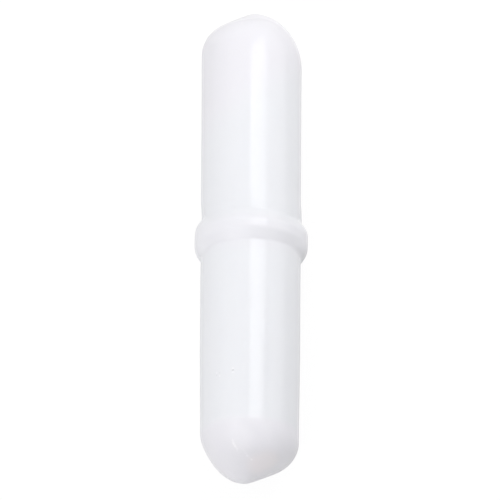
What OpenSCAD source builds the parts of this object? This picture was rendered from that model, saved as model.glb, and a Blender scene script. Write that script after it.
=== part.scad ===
// Magnetic stir bar with a pivot ring, in millimetres.
//
// A cast magnet rod is sealed inside one moulded PTFE jacket. The bar lies along X, the far end
// points to +X, and the origin is the middle of the pivot ring, on the bar's axis. Each rounded
// end is slightly skewed: one side keeps a full, tight shoulder and a straight face, the other
// is a smooth dome, and the nose stands a little off the axis. Both ends have the same form,
// turned half a turn about Z from each other.

/* [Bar] */
// Overall length, nose to nose
overall_length = 40.5; // [34:0.1:60]
// Diameter of the straight barrel
barrel_d = 8; // [6:0.1:12]

/* [Pivot ring] */
// Height of the ring's crest above the barrel
ring_rise = 0.53; // [0.2:0.01:1.2]
// Width of the flat land along the ring's crest
ring_land = 0.7; // [0.2:0.1:3]
// Radius of the rounded edges on both sides of the land
ring_round_r = 1.45; // [0.8:0.05:3]
// Radius of the fillets where the ring runs into the barrel
ring_fillet_r = 0.7; // [0.3:0.05:2]
// Distance of the ring from the middle of the bar, towards the far end
ring_offset = 0.47; // [-2:0.01:2]

/* [Rounded ends] */
// Length of each end, from the barrel to the nose
end_length = 4.86; // [4:0.02:7]
// Height of the fine step that the end die leaves round the barrel
end_step = 0.02; // [0.01:0.01:0.05]
// Radius of the tight shoulder on the full side
shoulder_r = 2.33; // [1:0.01:3.2]
// Slope of the straight face on the full side, from a plane square to the bar
face_slope = 30.7; // [22:0.1:42]
// Radius of the blunt nose on the full side
nose_r = 1.8; // [0.8:0.1:2.4]
// Distance of the nose from the axis, away from the full side
nose_offset = 0.22; // [0:0.01:0.8]
// Exponent of the smooth side's outline: 2 is an ellipse, less is more pointed
smooth_power = 1.78; // [1.4:0.01:2.4]

/* [Magnet] */
// Wall of the jacket round the magnet's pocket
jacket_wall = 0.95; // [0.5:0.05:1.6]
// Thickness of the jacket between each end of the pocket and the nose
end_wall = 3.7; // [2.8:0.1:6]
// Clearance between the magnet and its pocket, all round
magnet_clearance = 0.05; // [0.02:0.01:0.15]
// Chamfer on the magnet's end edges
magnet_chamfer = 0.4; // [0.1:0.05:0.8]

/* [Hidden] */
$fn = 96;

// Facets round each lofted end, and sections along it
end_facets = 72;
end_sections = 18;

barrel_r = barrel_d / 2;
ring_r = barrel_r + ring_rise;
far_nose_x = overall_length / 2 - ring_offset;
near_nose_x = -overall_length / 2 - ring_offset;
barrel_far_x = far_nose_x - end_length;
barrel_near_x = near_nose_x + end_length;

// Angle at which the ring's rounded edge turns into its fillet, and the ring's half width there
flank_angle = acos(1 - ring_rise / (ring_round_r + ring_fillet_r));
ring_half_width = ring_land / 2 + (ring_round_r + ring_fillet_r) * sin(flank_angle);

// The full side's outline has four stretches: wall, shoulder arc, straight face and nose arc.
// Heights are measured from the barrel's end, and distances from the bar's axis.
end_r = barrel_r + end_step;
face_top = end_length - nose_r * (1 - cos(face_slope));
face_top_y = nose_r * sin(face_slope) - nose_offset;
shoulder_y = end_r - shoulder_r;
shoulder_start = face_top - (shoulder_y - face_top_y) * tan(face_slope) - shoulder_r / cos(face_slope);
shoulder_top = shoulder_start + shoulder_r * cos(face_slope);

pocket_r = barrel_r - jacket_wall;
pocket_far_x = far_nose_x - end_wall;
pocket_near_x = near_nose_x + end_wall;

// Distance from the axis to the full side at height h of an end
function full_side(h) =
    h < shoulder_start ? end_r
    : h < shoulder_top ? shoulder_y + sqrt(pow(shoulder_r, 2) - pow(h - shoulder_start, 2))
    : h < face_top ? face_top_y + (face_top - h) / tan(face_slope)
    : sqrt(pow(nose_r, 2) - pow(h - end_length + nose_r, 2)) - nose_offset;

// Distance from the axis to the smooth side at height h of an end
function smooth_side(h) =
    nose_offset + (end_r - nose_offset) * pow(1 - pow(h / end_length, 2), 1 / smooth_power);

// An end's section at height h is the circle that spans its full side and its smooth side
function section_r(h) = (full_side(h) + smooth_side(h)) / 2;
function section_y(h) = (full_side(h) - smooth_side(h)) / 2;

// Section heights crowd towards the nose, where the outline turns fastest
function section_height(i) = end_length * sin(90 * i / end_sections);

function section_points(h) = [
    for (k = [0 : end_facets - 1])
        let (a = 360 * k / end_facets)
        [h, section_y(h) + section_r(h) * cos(a), section_r(h) * sin(a)]
];

// One end, lofted through its sections from the barrel at x = 0 to the nose, full side to +Y
module rounded_end() {
    points = [
        for (i = [0 : end_sections - 1]) each section_points(section_height(i)),
        [end_length, -nose_offset, 0]
    ];
    nose = end_sections * end_facets;
    last = (end_sections - 1) * end_facets;
    faces = [
        [for (k = [0 : end_facets - 1]) k],
        for (i = [0 : end_sections - 2], k = [0 : end_facets - 1])
            let (a = i * end_facets + k, b = i * end_facets + (k + 1) % end_facets)
            each [[a, a + end_facets, b + end_facets], [a, b + end_facets, b]],
        for (k = [0 : end_facets - 1]) [last + k, nose, last + (k + 1) % end_facets]
    ];
    polyhedron(points = points, faces = faces);
}

// Half of the ring's outline, drawn with the distance from the axis along X and the bar along Y
module ring_side() {
    tangent = [
        ring_r - ring_round_r * (1 - cos(flank_angle)),
        ring_land / 2 + ring_round_r * sin(flank_angle)
    ];
    square([ring_r, ring_land / 2]);
    difference() {
        union() {
            intersection() {
                translate([ring_r - ring_round_r, ring_land / 2]) circle(ring_round_r);
                square([ring_r, tangent[1]]);
            }
            polygon([[0, 0], [tangent[0], 0], tangent, [barrel_r, ring_half_width], [0, ring_half_width]]);
        }
        translate([barrel_r + ring_fillet_r, ring_half_width]) circle(ring_fillet_r);
    }
}

// The straight barrel with its pivot ring, as one turned form
module barrel() {
    rotate([0, 90, 0]) rotate_extrude() {
        translate([0, barrel_near_x]) square([barrel_r, barrel_far_x - barrel_near_x]);
        ring_side();
        mirror([0, 1]) ring_side();
    }
}

// A rod along X with chamfered end edges
module chamfered_rod(r, x_from, x_to, chamfer) {
    rotate([0, 90, 0]) rotate_extrude() polygon([
        [0, x_from],
        [r - chamfer, x_from],
        [r, x_from + chamfer],
        [r, x_to - chamfer],
        [r - chamfer, x_to],
        [0, x_to]
    ]);
}

// The moulded jacket: barrel, ring and both ends in one piece round a sealed pocket
module ptfe_jacket() {
    color([0.94, 0.95, 0.97]) difference() {
        union() {
            barrel();
            translate([barrel_far_x, 0, 0]) rounded_end();
            translate([barrel_near_x, 0, 0]) rotate([0, 0, 180]) rounded_end();
        }
        chamfered_rod(pocket_r, pocket_near_x, pocket_far_x, magnet_chamfer);
    }
}

// The magnet, a cast rod that fills the pocket but for its clearance
module magnet_rod() {
    color([0.42, 0.42, 0.44]) chamfered_rod(
        pocket_r - magnet_clearance,
        pocket_near_x + magnet_clearance,
        pocket_far_x - magnet_clearance,
        magnet_chamfer
    );
}

ptfe_jacket();
magnet_rod();
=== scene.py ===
# %% [markdown]
# # A magnetic stir bar with a pivot ring
# A stir bar is a rod magnet sealed in a jacket of moulded PTFE. It lies in a flask on a stirrer,
# whose turning magnet drags it round, and the raised ring in its middle is the pivot it spins
# on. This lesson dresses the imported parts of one: the white jacket is modelled afresh in a
# finer mesh, and the magnet inside keeps its solid and gets the finish of cast metal.
#
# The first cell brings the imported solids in. They are in metres, the bar lies along X with its
# far end at +X, and the origin is the middle of the ring.

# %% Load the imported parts
import math

import bpy
from mathutils import Matrix, Quaternion, Vector


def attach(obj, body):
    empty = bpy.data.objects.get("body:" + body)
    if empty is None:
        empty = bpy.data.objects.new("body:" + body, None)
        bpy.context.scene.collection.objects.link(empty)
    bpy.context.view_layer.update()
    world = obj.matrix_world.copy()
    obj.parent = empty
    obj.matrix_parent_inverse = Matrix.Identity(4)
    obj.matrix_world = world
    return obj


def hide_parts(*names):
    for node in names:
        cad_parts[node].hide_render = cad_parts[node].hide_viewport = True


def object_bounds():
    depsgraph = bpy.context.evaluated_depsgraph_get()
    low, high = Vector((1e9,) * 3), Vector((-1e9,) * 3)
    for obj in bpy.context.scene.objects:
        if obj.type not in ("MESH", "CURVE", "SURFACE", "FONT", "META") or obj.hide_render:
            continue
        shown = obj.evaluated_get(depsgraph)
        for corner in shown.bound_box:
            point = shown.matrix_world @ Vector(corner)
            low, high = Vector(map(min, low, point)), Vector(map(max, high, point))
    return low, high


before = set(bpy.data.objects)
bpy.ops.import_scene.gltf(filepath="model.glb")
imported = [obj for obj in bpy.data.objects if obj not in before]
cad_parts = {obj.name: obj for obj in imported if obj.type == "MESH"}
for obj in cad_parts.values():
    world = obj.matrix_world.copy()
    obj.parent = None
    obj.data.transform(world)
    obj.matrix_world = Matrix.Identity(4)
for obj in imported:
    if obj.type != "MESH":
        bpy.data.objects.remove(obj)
CAD_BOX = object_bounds()
LOW, HIGH = CAD_BOX
MM = 0.001
print("whole part, mm:", [round(side / MM, 2) for side in HIGH - LOW])

# %% [markdown]
# Colours are written as a paint chart gives them, in sRGB hex. Blender's sockets want linear
# light, so one function turns them. A second one adds a shader node with its settings and its
# links, which keeps every material below down to a list of what it is made of. Each of those
# starts as an empty one with its name.

# %% Helpers for colours, nodes and materials
def linear(hex_colour):
    """An sRGB hex colour as the linear RGBA that a socket takes."""
    channels = [int(hex_colour[i:i + 2], 16) / 255 for i in (1, 3, 5)]
    return [c / 12.92 if c <= 0.04045 else ((c + 0.055) / 1.055) ** 2.4 for c in channels] + [1]


def add_node(tree, kind, inputs=None, **settings):
    """Adds a node to a tree. An input is a value for its socket or another node's output."""
    added = tree.nodes.new(kind)
    for name, value in settings.items():
        setattr(added, name, value)
    for socket, source in (inputs or {}).items():
        if isinstance(source, bpy.types.NodeSocket):
            tree.links.new(source, added.inputs[socket])
        else:
            added.inputs[socket].default_value = source
    return added


def empty_material(name):
    """A new material with no nodes in its tree."""
    material = bpy.data.materials.new(name)
    material.use_nodes = True
    material.node_tree.nodes.clear()
    return material


WHITE = linear("#FFFFFF")
print("middle grey #808080 is", [round(c, 2) for c in linear("#808080")], "in linear light")

# %% [markdown]
# ## The camera
# The bar lies down and the camera looks on it from above its near end, 23 degrees off the
# vertical, so it shows nearly at full length. A long lens far away keeps both ends the same
# width. A lens of 1350 mm at 1.5 m takes in 40 mm, which is 12.5 pixels to the millimetre at
# 500 pixels. The camera is rolled a third of a degree, which sets the bar a little off upright.

# %% Camera
LEAN = math.radians(23)
ROLL = math.radians(0.35)
DISTANCE = 1.5                                # m
LENS, SENSOR = 1350, 36                       # mm
FARTHEST = 10                                 # m, past which the camera sees nothing
AIM_RIGHT = -0.056 * MM
AIM_UP = -0.60 * MM

towards_camera = Vector((-math.sin(LEAN), 0, math.cos(LEAN)))
upright = Vector((math.cos(LEAN), 0, math.sin(LEAN)))
sideways = Vector((0, -1, 0))
camera_right = sideways * math.cos(ROLL) + upright * math.sin(ROLL)
camera_up = upright * math.cos(ROLL) - sideways * math.sin(ROLL)
aim = camera_right * AIM_RIGHT + camera_up * AIM_UP

bpy.ops.object.camera_add(location=aim + towards_camera * DISTANCE)
camera = bpy.context.object
camera.name = "camera"
turned = Matrix((camera_right, camera_up, towards_camera)).transposed()
camera.rotation_euler = turned.to_euler()
camera.data.lens = LENS
camera.data.sensor_width = SENSOR
camera.data.clip_end = FARTHEST
bpy.context.scene.camera = camera
print("camera at", [round(c, 3) for c in camera.location])

# %% [markdown]
# ## The studio
# A white part on a white ground needs light that comes from nearly everywhere, or one side of
# it goes grey. So the world is an even, pale fill, and a few broad lamps make the difference
# between the sides. The background has to be plain white to the camera, and that comes from
# Light Path: a camera ray, or a mirror ray, sees white, while the light that falls on the part
# stays at its own level.

# %% World
WORLD_FILL = 0.43


def seen_directly(tree):
    """1 for a ray from the camera, a mirror or glass, and 0 for the light that falls on the part."""
    path = add_node(tree, "ShaderNodeLightPath")
    mirror = add_node(tree, "ShaderNodeMath", {
        0: path.outputs["Is Glossy Ray"], 1: path.outputs["Is Transmission Ray"]}, operation="MAXIMUM")
    seen = add_node(tree, "ShaderNodeMath", {
        0: path.outputs["Is Camera Ray"], 1: mirror.outputs[0]}, operation="MAXIMUM")
    return seen.outputs[0]


world = bpy.data.worlds.new("pale studio")
bpy.context.scene.world = world
world.use_nodes = True
tree = world.node_tree
tree.nodes.clear()
fill = add_node(tree, "ShaderNodeBackground", {"Color": WHITE, "Strength": WORLD_FILL})
backdrop = add_node(tree, "ShaderNodeBackground", {"Color": WHITE, "Strength": 1.0})
mixed = add_node(tree, "ShaderNodeMixShader", {
    0: seen_directly(tree), 1: fill.outputs[0], 2: backdrop.outputs[0]})
add_node(tree, "ShaderNodeOutputWorld", {"Surface": mixed.outputs[0]})
bpy.context.scene.view_settings.view_transform = "Standard"
print("world fill", WORLD_FILL)

# %% [markdown]
# The floor is pale matt paper, and the bar lies on it by the crest of its ring, the lowest place
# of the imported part. To the camera most of the floor is its own white, as the background is, and
# the share that is left keeps the bar's shadow.

# %% Floor
FLOOR_SIZE = 2.0                              # m
OWN_WHITE_SHARE = 0.85
OWN_WHITE = 1.07                              # over 1, to make up for the matt paper's share
bpy.ops.object.select_all(action="DESELECT")
bpy.ops.mesh.primitive_plane_add(size=FLOOR_SIZE, location=(0, 0, LOW.z))
floor = bpy.context.object
floor.name = "floor"
paper = empty_material("white paper floor")
tree = paper.node_tree
share = add_node(tree, "ShaderNodeMath", {0: seen_directly(tree), 1: OWN_WHITE_SHARE}, operation="MULTIPLY")
matt = add_node(tree, "ShaderNodeBsdfDiffuse", {"Color": linear("#E1E1E1")})
glow = add_node(tree, "ShaderNodeEmission", {"Color": WHITE, "Strength": OWN_WHITE})
mixed = add_node(tree, "ShaderNodeMixShader", {0: share.outputs[0], 1: matt.outputs[0], 2: glow.outputs[0]})
add_node(tree, "ShaderNodeOutputMaterial", {"Surface": mixed.outputs[0]})
floor.data.materials.append(paper)
print("floor at z", round(LOW.z / MM, 2), "mm")

# %% [markdown]
# Four soft lamps stand round the bar. The overhead panel is the one whose mirror image runs
# along the jacket as its long highlight, and the key makes the left side the lighter one. The
# fill and the side light stand close by, so their light falls off along the bar, and its far
# half is a little brighter than its near half.

# %% Lamps
def softbox(name, towards, distance, width, height, radiance, turn=0):
    """A rectangular lamp that faces the part. Its radiance is the brightness that its panel
    shows, and its turn is about the line to the part, in degrees."""
    bpy.ops.object.light_add(type="AREA", location=Vector(towards).normalized() * distance)
    lamp = bpy.context.object
    lamp.name = name
    facing = Vector(towards).to_track_quat("Z", "Y") @ Quaternion((0, 0, 1), math.radians(turn))
    lamp.rotation_euler = facing.to_euler()
    lamp.data.shape = "RECTANGLE"
    lamp.data.size, lamp.data.size_y = width, height
    lamp.data.energy = radiance * math.pi * width * height
    lamp.visible_camera = False
    return lamp


def compass(degrees, height):
    """A direction by its compass angle from the far end towards the left, and its height, in degrees."""
    turn, lift = math.radians(degrees), math.radians(height)
    return math.cos(turn) * math.cos(lift), math.sin(turn) * math.cos(lift), math.sin(lift)


lamps = [
    softbox("overhead panel", (0.44, -0.243, 0.849), distance=0.5, width=0.29, height=0.18,
            radiance=3.51, turn=57),
    softbox("key, near left", compass(135, 50), distance=0.6, width=0.7, height=0.6, radiance=1.45),
    softbox("fill, far left", compass(45, 50), distance=0.2, width=0.233, height=0.2, radiance=0.32),
    softbox("side light, far right", compass(-45, 26), distance=0.1, width=0.12, height=0.07, radiance=0.99),
]
print("lamps:", [lamp.name for lamp in lamps])

# %% [markdown]
# ## The jacket
# The real jacket is PTFE, pressed and sintered round the magnet, with a rounded end at each
# side and a ring in the middle. Every section across it is a circle, so it could be turned like
# a lathe part. But its ends are skewed: one side has a full, tight shoulder, the other is a
# smooth dome, and the circles slide sideways towards the nose. So it is lofted by hand instead:
# one circle, extruded, moved and scaled from section to section, from one nose to the other.

# %% Sizes and ends of the jacket, in mm
BARREL_R = 4.0
FAR_NOSE, NEAR_NOSE = HIGH.x / MM, LOW.x / MM
END_LENGTH = 4.86
FAR_BARREL, NEAR_BARREL = FAR_NOSE - END_LENGTH, NEAR_NOSE + END_LENGTH


class End:
    """The outline of one rounded end, by its height above the barrel."""

    def __init__(self, radius, shoulder_r, face_slope, nose_r, nose_offset, bend_from, bend_power, power):
        self.radius, self.shoulder_r, self.slope = radius, shoulder_r, math.radians(face_slope)
        self.nose_r, self.nose_offset = nose_r, nose_offset
        self.bend_from, self.bend_power, self.power = bend_from, bend_power, power
        self.face_top = END_LENGTH - nose_r * (1 - math.cos(self.slope))
        self.face_top_y = nose_r * math.sin(self.slope) - nose_offset
        self.shoulder_y = radius - shoulder_r
        self.shoulder_from = (self.face_top - (self.shoulder_y - self.face_top_y) * math.tan(self.slope)
                              - shoulder_r / math.cos(self.slope))
        self.shoulder_to = self.shoulder_from + shoulder_r * math.cos(self.slope)

    def full_side(self, h):
        """Wall, tight shoulder, straight face and blunt nose: distance from the axis at height h."""
        if h < self.shoulder_from:
            return self.radius
        if h < self.shoulder_to:
            return self.shoulder_y + math.sqrt(self.shoulder_r ** 2 - (h - self.shoulder_from) ** 2)
        if h < self.face_top:
            return self.face_top_y + (self.face_top - h) / math.tan(self.slope)
        return math.sqrt(self.nose_r ** 2 - (h - END_LENGTH + self.nose_r) ** 2) - self.nose_offset

    def smooth_side(self, h):
        """One smooth curve from where it bends off to the nose: distance from the axis at height h."""
        share = max(0, h - self.bend_from) / (END_LENGTH - self.bend_from)
        fall = (1 - share ** self.bend_power) ** (1 / self.power)
        return self.nose_offset + (self.radius - self.nose_offset) * fall

    def section(self, h):
        """The circle that spans both sides at height h: its shift to the full side, and its radius."""
        full, smooth = self.full_side(h), self.smooth_side(h)
        return (full - smooth) / 2, (full + smooth) / 2


# The near end is 0.16 mm thinner than the far one, and bends off later but quicker.
far_form = End(radius=4.02, shoulder_r=2.33, face_slope=30.7, nose_r=1.8, nose_offset=0.22,
               bend_from=0.0, bend_power=2.0, power=1.78)
near_form = End(radius=3.94, shoulder_r=2.28, face_slope=28.0, nose_r=1.8, nose_offset=0.43,
                bend_from=0.9, bend_power=1.3, power=1.97)
for form in (far_form, near_form):
    print("shoulder from", round(form.shoulder_from, 2), "to", round(form.shoulder_to, 2), "mm up the end")

# %% Sections of one end
# They crowd towards the nose, and a few more stand just past where the smooth side bends off.
END_SECTIONS = 40
BEND_SECTIONS, BEND_START, BEND_STEP = 9, 0.01, 0.05


def end_sections(form):
    """Sections of an end as (height, sideways shift, radius), from the barrel to short of the nose."""
    heights = [END_LENGTH * math.sin(math.pi / 2 * i / END_SECTIONS) for i in range(END_SECTIONS)]
    heights += [form.bend_from + BEND_START + BEND_STEP * i for i in range(BEND_SECTIONS)]
    return [(h, *form.section(h)) for h in sorted(heights)]


print("smallest section before the nose, mm:", round(end_sections(near_form)[-1][2], 3))

# %% All the sections, from the near nose to the far one
# A section is its place along the bar, its shift to the left, and its radius. They stand close
# together where the ring is going to rise.
STRAIGHTS, RING_SECTIONS = 8, 60
RING_ZONE = 2.1
FAR_RUN, NEAR_RUN = 2.0, 6.0                  # over which the barrel takes the width of each end
far_end = [(FAR_BARREL + h, shift, r) for h, shift, r in end_sections(far_form)]
near_end = [(NEAR_BARREL - h, -shift, r) for h, shift, r in reversed(end_sections(near_form))]


def straight(x_from, x_to, steps):
    """Sections along a plain stretch of the barrel, its last one left out."""
    return [(x_from + (x_to - x_from) * i / steps, 0, BARREL_R) for i in range(steps)]


barrel = (straight(NEAR_BARREL + NEAR_RUN, -RING_ZONE, STRAIGHTS)
          + straight(-RING_ZONE, RING_ZONE, RING_SECTIONS)
          + straight(RING_ZONE, FAR_BARREL - FAR_RUN, STRAIGHTS)
          + [(FAR_BARREL - FAR_RUN, 0, BARREL_R)])
sections = near_end + barrel + far_end
print(len(sections), "sections")

# %% Loft the jacket
SIDES = 128

bpy.ops.object.select_all(action="DESELECT")
x, shift, radius = sections[0]
bpy.ops.mesh.primitive_circle_add(vertices=SIDES, radius=radius * MM, rotation=(0, math.pi / 2, 0))
jacket = bpy.context.object
jacket.name = "moulded_jacket"
bpy.ops.object.transform_apply(location=True, rotation=True, scale=True)
bpy.ops.object.mode_set(mode="EDIT")
bpy.ops.mesh.select_mode(type="VERT")
bpy.ops.mesh.select_all(action="SELECT")
bpy.ops.transform.translate(value=(x * MM, shift * MM, 0))
for next_x, next_shift, next_radius in sections[1:]:
    step = ((next_x - x) * MM, (next_shift - shift) * MM, 0)
    bpy.ops.mesh.extrude_edges_move(TRANSFORM_OT_translate={"value": step})
    grow = next_radius / radius
    bpy.ops.transform.resize(value=(1, grow, grow), center_override=(next_x * MM, next_shift * MM, 0))
    x, shift, radius = next_x, next_shift, next_radius
print("the last section is at", round(x, 3), "mm")

# %% Close the noses
# Each open end is extruded once more, out to the nose, and gathered into one point.
SAME_PLACE = 1e-4                             # mm
WELD = 0.001 * MM


def select_vertices(piece, test):
    """In edit mode, selects the vertices whose place in mm passes the test, and no others."""
    bpy.ops.mesh.select_all(action="DESELECT")
    bpy.ops.object.mode_set(mode="OBJECT")
    for vertex in piece.data.vertices:
        vertex.select = test(vertex.co / MM)
    bpy.ops.object.mode_set(mode="EDIT")


for nose, nose_y, last in ((FAR_NOSE, -far_form.nose_offset, sections[-1]),
                           (NEAR_NOSE, near_form.nose_offset, sections[0])):
    select_vertices(jacket, lambda place: abs(place.x - last[0]) < SAME_PLACE)
    reach = ((nose - last[0]) * MM, (nose_y - last[1]) * MM, 0)
    bpy.ops.mesh.extrude_edges_move(TRANSFORM_OT_translate={"value": reach})
    bpy.ops.transform.resize(value=(0, 0, 0), center_override=(nose * MM, nose_y * MM, 0))
    bpy.ops.mesh.remove_doubles(threshold=WELD)
bpy.ops.mesh.select_all(action="SELECT")
bpy.ops.mesh.normals_make_consistent(inside=False)
bpy.ops.object.mode_set(mode="OBJECT")
print(len(jacket.data.vertices), "vertices,", len(jacket.data.polygons), "faces")

# %% [markdown]
# ## The ring
# From its middle out, the ring has a land, a rounded edge, a straight flank, and a fillet that
# runs into the barrel. On the real bar it isn't quite true. It is fullest at its two sides, where
# the halves of the mould met, and lower and softer on top, and it is a little wider on its left.
# It also came out turned by about a degree, and a twentieth of a millimetre off the middle.
#
# An operator moves all that is selected by one amount, and here each vertex rises by its own. So
# this step sets the places of the vertices itself. The turn is done by hand again, with
# proportional editing, which lets the barrel beside the ring follow softly.

# %% Profiles of the ring
class Ring:
    """The outline of the ring, by its distance from the ring's middle."""

    def __init__(self, rise, land, round_r, fillet_r, slope=None):
        """With no slope for the flank, the two arcs meet and there is no straight flank."""
        arcs_r = round_r + fillet_r
        self.rise, self.land, self.round_r, self.fillet_r = rise, land, round_r, fillet_r
        self.slope = math.acos(1 - rise / arcs_r) if slope is None else math.radians(slope)
        flank_drop = rise - arcs_r * (1 - math.cos(self.slope))
        self.round_end = land / 2 + round_r * math.sin(self.slope)
        self.foot = land / 2 + arcs_r * math.sin(self.slope) + flank_drop / math.tan(self.slope)

    def height(self, x):
        """Height above the barrel at a distance x from the ring's middle."""
        out = abs(x)
        if out <= self.land / 2:
            return self.rise
        if out <= self.round_end:
            return self.rise - self.round_r + math.sqrt(self.round_r ** 2 - (out - self.land / 2) ** 2)
        if out <= self.foot - self.fillet_r * math.sin(self.slope):
            flank_from = self.rise - self.round_r * (1 - math.cos(self.slope))
            return flank_from - (out - self.round_end) * math.tan(self.slope)
        return self.fillet_r - math.sqrt(self.fillet_r ** 2 - max(self.foot - out, 0) ** 2)


ring_side = Ring(rise=0.53, land=0.7, round_r=1.45, fillet_r=0.7)
ring_top = Ring(rise=0.34, land=0.4, round_r=1.0, fillet_r=0.6, slope=20)
print("the ring's foot is", round(ring_side.foot, 2), "mm out at its sides and",
      round(ring_top.foot, 2), "on top")

# %% Raise the ring
# Round the bar, the ring has its top's form to 48 degrees off the top and its sides' form from
# 82 degrees on, with a smooth blend between.
TOP_TO, SIDE_FROM = math.radians(48), math.radians(82)
LEFT_STRETCH = 0.05
for vertex in jacket.data.vertices:
    x, y, z = vertex.co / MM
    if abs(x) < RING_ZONE:
        turn = math.atan2(y, z)
        share = min(max((abs(turn) - TOP_TO) / (SIDE_FROM - TOP_TO), 0), 1)
        share = share * share * (3 - 2 * share)
        along = x / (1 + LEFT_STRETCH * math.sin(turn))
        rise = share * ring_side.height(along) + (1 - share) * ring_top.height(along)
        vertex.co = Vector((x, (BARREL_R + rise) * math.sin(turn), (BARREL_R + rise) * math.cos(turn))) * MM
print("crest on top at", round(max(v.co.z for v in jacket.data.vertices) / MM, 3), "mm")

# %% Turn the ring
RING_SKEW = math.radians(1.0)
RING_SHIFT = -0.05 * MM
SOFT_REACH = 1.5 * MM
CREST_BAND = 0.2 * MM
soft = {"use_proportional_edit": True, "proportional_edit_falloff": "SMOOTH", "proportional_size": SOFT_REACH}
bpy.ops.object.mode_set(mode="EDIT")
select_vertices(jacket, lambda place: abs(place.x) < RING_ZONE)
bpy.ops.transform.rotate(value=RING_SKEW, orient_axis="Z", center_override=(0, 0, 0), **soft)
bpy.ops.transform.translate(value=(0, RING_SHIFT, 0), **soft)
bpy.ops.object.mode_set(mode="OBJECT")
for side, name in ((1, "left"), (-1, "right")):
    reach = max(side * v.co.y for v in jacket.data.vertices)
    crest = [v.co.x / MM for v in jacket.data.vertices if side * v.co.y > reach - CREST_BAND]
    print("middle of the crest at the", name, round((min(crest) + max(crest)) / 2, 3), "mm")

# %% [markdown]
# ## The pocket
# The jacket is hollow where the magnet lies, and closed on all sides. A boolean would cut the
# pocket too, but it needs no cutting: a closed wall inside another, with its faces turned to
# look inwards, is a hollow. So a cylinder is added to the same mesh, its rims are bevelled as
# the magnet's are, and its faces are flipped.

# %% Hollow it for the magnet
POCKET_R, END_WALL, POCKET_CHAMFER = 3.05, 3.7, 0.4
POCKET_SIDES = 64
NEAR_ENOUGH = 0.01                            # mm
SMOOTH_UP_TO = math.radians(30)
pocket_near, pocket_far = NEAR_NOSE + END_WALL, FAR_NOSE - END_WALL
pocket_middle = (pocket_far + pocket_near) / 2
bpy.ops.object.mode_set(mode="EDIT")
bpy.ops.mesh.select_all(action="DESELECT")
bpy.ops.mesh.primitive_cylinder_add(
    vertices=POCKET_SIDES, radius=POCKET_R * MM, depth=(pocket_far - pocket_near) * MM,
    location=(pocket_middle * MM, 0, 0), rotation=(0, math.pi / 2, 0))


def on_pocket_rim(place, end):
    """Whether a place in mm is on the rim of the pocket at one of its ends."""
    return abs(place.x - end) < SAME_PLACE and abs(place.yz.length - POCKET_R) < SAME_PLACE


bpy.ops.object.mode_set(mode="OBJECT")
for edge in jacket.data.edges:
    places = [jacket.data.vertices[i].co / MM for i in edge.vertices]
    edge.select = any(all(on_pocket_rim(place, end) for place in places) for end in (pocket_near, pocket_far))
print(sum(edge.select for edge in jacket.data.edges), "rim edges")
bpy.ops.object.mode_set(mode="EDIT")
bpy.ops.mesh.bevel(offset=POCKET_CHAMFER * MM, offset_type="OFFSET", segments=1)
select_vertices(jacket, lambda place: place.yz.length < POCKET_R + NEAR_ENOUGH
                and pocket_near - NEAR_ENOUGH < place.x < pocket_far + NEAR_ENOUGH)
bpy.ops.mesh.flip_normals()
bpy.ops.object.mode_set(mode="OBJECT")
bpy.ops.object.shade_smooth_by_angle(angle=SMOOTH_UP_TO)
for axis, name in enumerate("xyz"):
    reach = [v.co[axis] / MM for v in jacket.data.vertices]
    print("jacket along", name, "from", round(min(reach), 3), "to", round(max(reach), 3), "mm")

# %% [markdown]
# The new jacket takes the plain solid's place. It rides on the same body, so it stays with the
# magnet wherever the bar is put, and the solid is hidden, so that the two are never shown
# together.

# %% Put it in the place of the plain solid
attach(jacket, "root")
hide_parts("ptfe_jacket")

# %% [markdown]
# ## The jacket's finish
# PTFE is a waxy, dense white plastic. It can't be melted and poured, so its powder is pressed
# round the magnet and sintered. Light goes a little way in and comes back, which softens every
# shadow on it, and its surface has a low, satiny gloss: its refractive index of 1.35 is the
# lowest of the common plastics. Over the magnet the wall is under a millimetre thick, and the
# grey metal behind it turns the white a touch cooler than it is in the ring and in the ends.
#
# The material is built in that order: first where the plastic is thick, then its two whites,
# the faint clouds and grain of the pressed powder, the marks of use and the painted light, and the
# surface.

# %% Sintered PTFE: where it is thick
# A mask that goes from 0 over the magnet to 1 in the ends. Its limits are in mm along the bar,
# from where it starts to rise to where it is full. On the far half it reaches in over the
# magnet, and most so on the left. The ring's share is counted out from a place on its near side.
FAR_LIMITS, NEAR_LIMITS, RING_LIMITS = (9.5, 13.5), (-16.3, -17.1), (2.0, 0.4)
FAR_SLANT = 0.75
RING_THICK_AT, RING_SHARE = -0.5, 0.6


def millimetres(tree):
    """The place on a piece in millimetres, from its Object coordinates."""
    coordinates = add_node(tree, "ShaderNodeTexCoord")
    scaled = add_node(tree, "ShaderNodeMapping", {
        "Vector": coordinates.outputs["Object"], "Scale": (1 / MM, 1 / MM, 1 / MM)})
    return scaled.outputs["Vector"]


ptfe = empty_material("sintered PTFE")
tree = ptfe.node_tree
place_mm = millimetres(tree)
axes = add_node(tree, "ShaderNodeSeparateXYZ", {"Vector": place_mm})
along, to_left = axes.outputs["X"], axes.outputs["Y"]
slanted = add_node(tree, "ShaderNodeMath", {0: to_left, 1: FAR_SLANT, 2: along}, operation="MULTIPLY_ADD")
far_solid = add_node(tree, "ShaderNodeMapRange", {
    "Value": slanted.outputs[0], "From Min": FAR_LIMITS[0], "From Max": FAR_LIMITS[1]},
    interpolation_type="SMOOTHSTEP")
near_solid = add_node(tree, "ShaderNodeMapRange", {
    "Value": along, "From Min": NEAR_LIMITS[0], "From Max": NEAR_LIMITS[1]},
    interpolation_type="SMOOTHSTEP")
off_ring = add_node(tree, "ShaderNodeMath", {0: along, 1: RING_THICK_AT}, operation="SUBTRACT")
off_ring = add_node(tree, "ShaderNodeMath", {0: off_ring.outputs[0]}, operation="ABSOLUTE")
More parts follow.
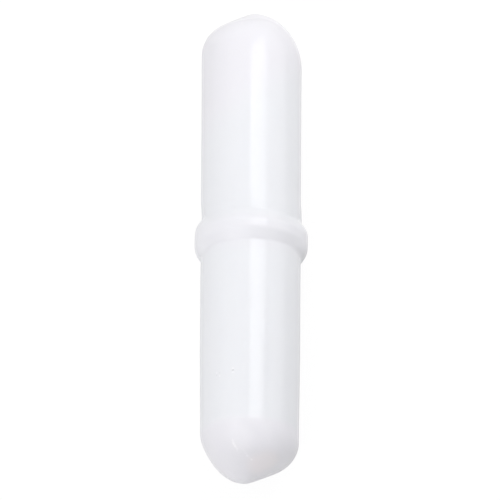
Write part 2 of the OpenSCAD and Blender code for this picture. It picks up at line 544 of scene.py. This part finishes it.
in_ring = add_node(tree, "ShaderNodeMapRange", {
    "Value": off_ring.outputs[0], "From Min": RING_LIMITS[0], "From Max": RING_LIMITS[1],
    "To Max": RING_SHARE}, interpolation_type="SMOOTHSTEP")
thick = add_node(tree, "ShaderNodeMath", {
    0: far_solid.outputs[0], 1: near_solid.outputs[0]}, operation="MAXIMUM")
thick = add_node(tree, "ShaderNodeMath", {0: thick.outputs[0], 1: in_ring.outputs[0]}, operation="MAXIMUM")
print("thick in the ends and the ring")

# %% Sintered PTFE: its whites
# Cool over the magnet, a little warmer where it is solid. The clouds are 3 mm across and the
# grain 0.3 mm, ten times the size of the real powder's, so that it can be seen at all.
NOISE_RANGE = {"From Min": 0.3, "From Max": 0.7}      # what a noise texture mostly gives
white = add_node(tree, "ShaderNodeMix", {
    "Factor": thick.outputs[0], "A": linear("#EDEEF2"), "B": linear("#EEEDF2")}, data_type="RGBA")
clouds = add_node(tree, "ShaderNodeTexNoise", {"Vector": place_mm, "Scale": 0.33, "Detail": 2.0})
clouds = add_node(tree, "ShaderNodeMapRange", {
    "Value": clouds.outputs["Fac"], **NOISE_RANGE, "To Min": 0.99, "To Max": 1.0})
grain = add_node(tree, "ShaderNodeTexNoise", {"Vector": place_mm, "Scale": 3.3, "Detail": 1.0})
grain = add_node(tree, "ShaderNodeMapRange", {
    "Value": grain.outputs["Fac"], **NOISE_RANGE, "To Min": 0.996, "To Max": 1.0})
depth = add_node(tree, "ShaderNodeMath", {0: clouds.outputs[0], 1: grain.outputs[0]}, operation="MULTIPLY")
white = add_node(tree, "ShaderNodeVectorMath", {0: white.outputs["Result"], "Scale": depth.outputs[0]},
                 operation="SCALE").outputs["Vector"]
print("two whites with clouds and grain")

# %% [markdown]
# The bar has been used. Two fine scratches cross its near end, and a dark dot and a mottled speck
# lie on its near half. Painted highlights light the two rims of the dot, and a faint painted pink
# reflection lightens the near end by its nose. Each is drawn into the white as one or more short
# strokes, which stay where they are from every side. The places are given along the bar and to its
# left, and their height is worked out from the jacket's form.

# %% Sintered PTFE: places and masks for its marks and painted light
CORE = 0.3                                    # share of a stroke's half width that has its full strength


def on_near_half(x, y):
    """The place on the upper side of the near half, x along the bar and y to its left, in mm."""
    shift, radius = near_form.section(NEAR_BARREL - x) if x < NEAR_BARREL else (0, BARREL_R)
    return x, y, math.sqrt(radius ** 2 - (y + shift) ** 2)


def stroke(tree, place, start, end, half_width):
    """A mask that is 1 along the line from start to end, and falls to 0 at half_width from it."""
    line = Vector(end) - Vector(start)
    from_start = add_node(tree, "ShaderNodeVectorMath", {0: place, 1: start}, operation="SUBTRACT")
    share = add_node(tree, "ShaderNodeVectorMath", {0: from_start.outputs[0], 1: line / line.length_squared},
                     operation="DOT_PRODUCT")
    share = add_node(tree, "ShaderNodeClamp", {"Value": share.outputs["Value"]})
    nearest = add_node(tree, "ShaderNodeVectorMath", {0: line, "Scale": share.outputs[0]}, operation="SCALE")
    apart = add_node(tree, "ShaderNodeVectorMath", {0: from_start.outputs[0], 1: nearest.outputs[0]},
                     operation="DISTANCE")
    mask = add_node(tree, "ShaderNodeMapRange", {
        "Value": apart.outputs["Value"], "From Min": half_width, "From Max": half_width * CORE},
        interpolation_type="SMOOTHSTEP")
    return mask.outputs[0]


def tint(tree, under, mask, colour, strength):
    """Lays a colour over another by a mask."""
    share = add_node(tree, "ShaderNodeMath", {0: mask, 1: strength}, operation="MULTIPLY")
    over = add_node(tree, "ShaderNodeMix", {"Factor": share.outputs[0], "A": under, "B": linear(colour)},
                    data_type="RGBA")
    return over.outputs["Result"]


print("the bar's top at x = -18 mm stands", round(on_near_half(-18, 0)[2], 2), "mm over its axis")

# %% Sintered PTFE: marks of use and painted light
LIGHT, DARK, GREY, PINK_REFLECTION = "#FCFBFF", "#9C9DA4", "#B4B5BC", "#FBF3F4"
MARKS_AND_PAINTED_LIGHT = [                                     # start and end in mm, half width in mm, colour, strength
    # Scratch across the near end
    ((-18.39, 1.34), (-18.64, 1.27), 0.14, LIGHT, 0.28),
    ((-18.64, 1.27), (-18.83, 1.14), 0.15, LIGHT, 0.38),
    ((-18.83, 1.14), (-19.03, 0.98), 0.14, LIGHT, 0.30),
    ((-19.03, 0.98), (-19.18, 0.98), 0.11, LIGHT, 0.15),
    # Scratch nearer to the nose, with a bright spot at its end and one at its bend
    ((-19.10, 0.47), (-19.47, 0.17), 0.12, LIGHT, 0.13),
    ((-19.47, 0.17), (-19.67, -0.18), 0.10, LIGHT, 0.16),
    ((-19.66, -0.17), (-19.67, -0.18), 0.13, LIGHT, 0.60),
    ((-19.46, 0.18), (-19.47, 0.17), 0.11, LIGHT, 0.35),
    # Dark dot between two painted highlights on its rims
    ((-12.62, 1.40), (-12.62, 1.32), 0.09, DARK, 0.32),
    ((-12.46, 1.39), (-12.46, 1.33), 0.11, LIGHT, 0.45),
    ((-12.80, 1.39), (-12.80, 1.33), 0.11, LIGHT, 0.45),
    # Mottled speck to the left of it
    ((-12.53, 2.66), (-12.56, 2.66), 0.12, LIGHT, 0.40),
    ((-12.75, 2.66), (-12.79, 2.66), 0.09, GREY, 0.14),
    ((-12.61, 2.42), (-12.64, 2.42), 0.09, GREY, 0.14),
    ((-12.87, 2.42), (-12.90, 2.42), 0.12, LIGHT, 0.40),
    # Painted pink reflection by the nose, which also paints light onto the near end's face
    ((-19.64, -1.32), (-19.79, -0.93), 1.60, PINK_REFLECTION, 0.40),
]
for start, end, half_width, colour, strength in MARKS_AND_PAINTED_LIGHT:
    mask = stroke(tree, place_mm, on_near_half(*start), on_near_half(*end), half_width)
    white = tint(tree, white, mask, colour, strength)
print(len(MARKS_AND_PAINTED_LIGHT), "marks")

# %% Sintered PTFE: its surface
# A satin gloss that varies a little over patches of 0.8 mm, and the finest ripple of the mould,
# 0.5 mm from crest to crest. Seen at a grazing look, the fine grain shades itself, so the gloss
# fades out towards the rim.
LIGHT_DEPTH = 0.4 * MM                        # how far the light goes in
RIPPLE = 0.0012 * MM
gloss = add_node(tree, "ShaderNodeTexNoise", {"Vector": place_mm, "Scale": 1.2, "Detail": 2.0})
gloss = add_node(tree, "ShaderNodeMapRange", {
    "Value": gloss.outputs["Fac"], **NOISE_RANGE, "To Min": 0.10, "To Max": 0.12})
ripple = add_node(tree, "ShaderNodeTexNoise", {
    "Vector": place_mm, "Scale": 2.0, "Detail": 3.0, "Roughness": 0.6})
relief = add_node(tree, "ShaderNodeBump", {
    "Height": ripple.outputs["Fac"], "Distance": RIPPLE, "Strength": 1.0})
edge = add_node(tree, "ShaderNodeLayerWeight", {"Blend": 0.5})
shine = add_node(tree, "ShaderNodeMapRange", {
    "Value": edge.outputs["Facing"], "From Min": 0.45, "From Max": 0.75, "To Min": 0.5, "To Max": 0.0})
bsdf = add_node(tree, "ShaderNodeBsdfPrincipled", {
    "Base Color": white, "Roughness": gloss.outputs[0], "Normal": relief.outputs["Normal"], "IOR": 1.35,
    "Specular IOR Level": shine.outputs[0], "Subsurface Weight": 1.0,
    "Subsurface Radius": (1.0, 1.0, 1.0), "Subsurface Scale": LIGHT_DEPTH})
add_node(tree, "ShaderNodeOutputMaterial", {"Surface": bsdf.outputs["BSDF"]})
jacket.data.materials.clear()
jacket.data.materials.append(ptfe)
print("jacket material:", ptfe.name, "with", len(tree.nodes), "nodes")

# %% [markdown]
# ## The magnet's finish
# The magnet is out of sight, so its finish is the usual one of its kind. An AlNiCo rod is cast,
# which gives it a coarse grain of greys. Then its round side is ground, which leaves fine rings
# round the rod, and its ends are sawn off, which leaves straight lines across them. The solid
# keeps its mesh and only gets the material.

# %% Cast AlNiCo: its greys
# Crystals 0.7 mm across in two greys, with a few darker pits of up to 0.4 mm
cast = empty_material("cast AlNiCo, ground")
tree = cast.node_tree
place_mm = millimetres(tree)
crystals = add_node(tree, "ShaderNodeTexVoronoi", {"Vector": place_mm, "Scale": 1.4})
tone = add_node(tree, "ShaderNodeSeparateColor", {"Color": crystals.outputs["Color"]})
grey = add_node(tree, "ShaderNodeMix", {
    "Factor": tone.outputs[0], "A": linear("#6E6E71"), "B": linear("#7D7C7D")}, data_type="RGBA")
pits = add_node(tree, "ShaderNodeTexNoise", {"Vector": place_mm, "Scale": 2.5, "Detail": 3.0})
pits = add_node(tree, "ShaderNodeMapRange", {
    "Value": pits.outputs["Fac"], "From Min": 0.66, "From Max": 0.72})
grey = add_node(tree, "ShaderNodeMix", {
    "Factor": pits.outputs[0], "A": grey.outputs["Result"], "B": linear("#4C4B4B")}, data_type="RGBA")
print("two greys with pits")

# %% Cast AlNiCo: its surface
# Rings of grinding, 0.12 mm apart along the rod, and saw lines 0.2 mm apart across its ends
MAGNET_CLEARANCE = 0.05
END_SKIN = 0.05                               # mm under an end face that still count as it
TOOL_MARK = 0.006 * MM
rings = add_node(tree, "ShaderNodeMapping", {"Vector": place_mm, "Scale": (8.0, 0.15, 0.15)})
rings = add_node(tree, "ShaderNodeTexNoise", {"Vector": rings.outputs["Vector"], "Scale": 1.0, "Detail": 2.0})
saw = add_node(tree, "ShaderNodeMapping", {"Vector": place_mm, "Scale": (0.2, 0.2, 5.0)})
saw = add_node(tree, "ShaderNodeTexNoise", {"Vector": saw.outputs["Vector"], "Scale": 1.0, "Detail": 2.0})
along = add_node(tree, "ShaderNodeSeparateXYZ", {"Vector": place_mm}).outputs["X"]
off_middle = add_node(tree, "ShaderNodeMath", {0: along, 1: pocket_middle}, operation="SUBTRACT")
off_middle = add_node(tree, "ShaderNodeMath", {0: off_middle.outputs[0]}, operation="ABSOLUTE")
at_end = add_node(tree, "ShaderNodeMath", {
    0: off_middle.outputs[0], 1: (pocket_far - pocket_near) / 2 - MAGNET_CLEARANCE - END_SKIN},
    operation="GREATER_THAN")
lines = add_node(tree, "ShaderNodeMix", {
    "Factor": at_end.outputs[0], "A": rings.outputs["Fac"], "B": saw.outputs["Fac"]}, data_type="FLOAT")
rough = add_node(tree, "ShaderNodeMapRange", {
    "Value": lines.outputs["Result"], **NOISE_RANGE, "To Min": 0.32, "To Max": 0.5})
relief = add_node(tree, "ShaderNodeBump", {
    "Height": lines.outputs["Result"], "Distance": TOOL_MARK, "Strength": 1.0})
bsdf = add_node(tree, "ShaderNodeBsdfPrincipled", {
    "Base Color": grey.outputs["Result"], "Metallic": 1.0, "Roughness": rough.outputs[0],
    "Normal": relief.outputs["Normal"]})
add_node(tree, "ShaderNodeOutputMaterial", {"Surface": bsdf.outputs["BSDF"]})
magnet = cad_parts["magnet_rod"]
magnet.data.materials.clear()
magnet.data.materials.append(cast)
print("magnet material:", cast.name, "with", len(tree.nodes), "nodes")
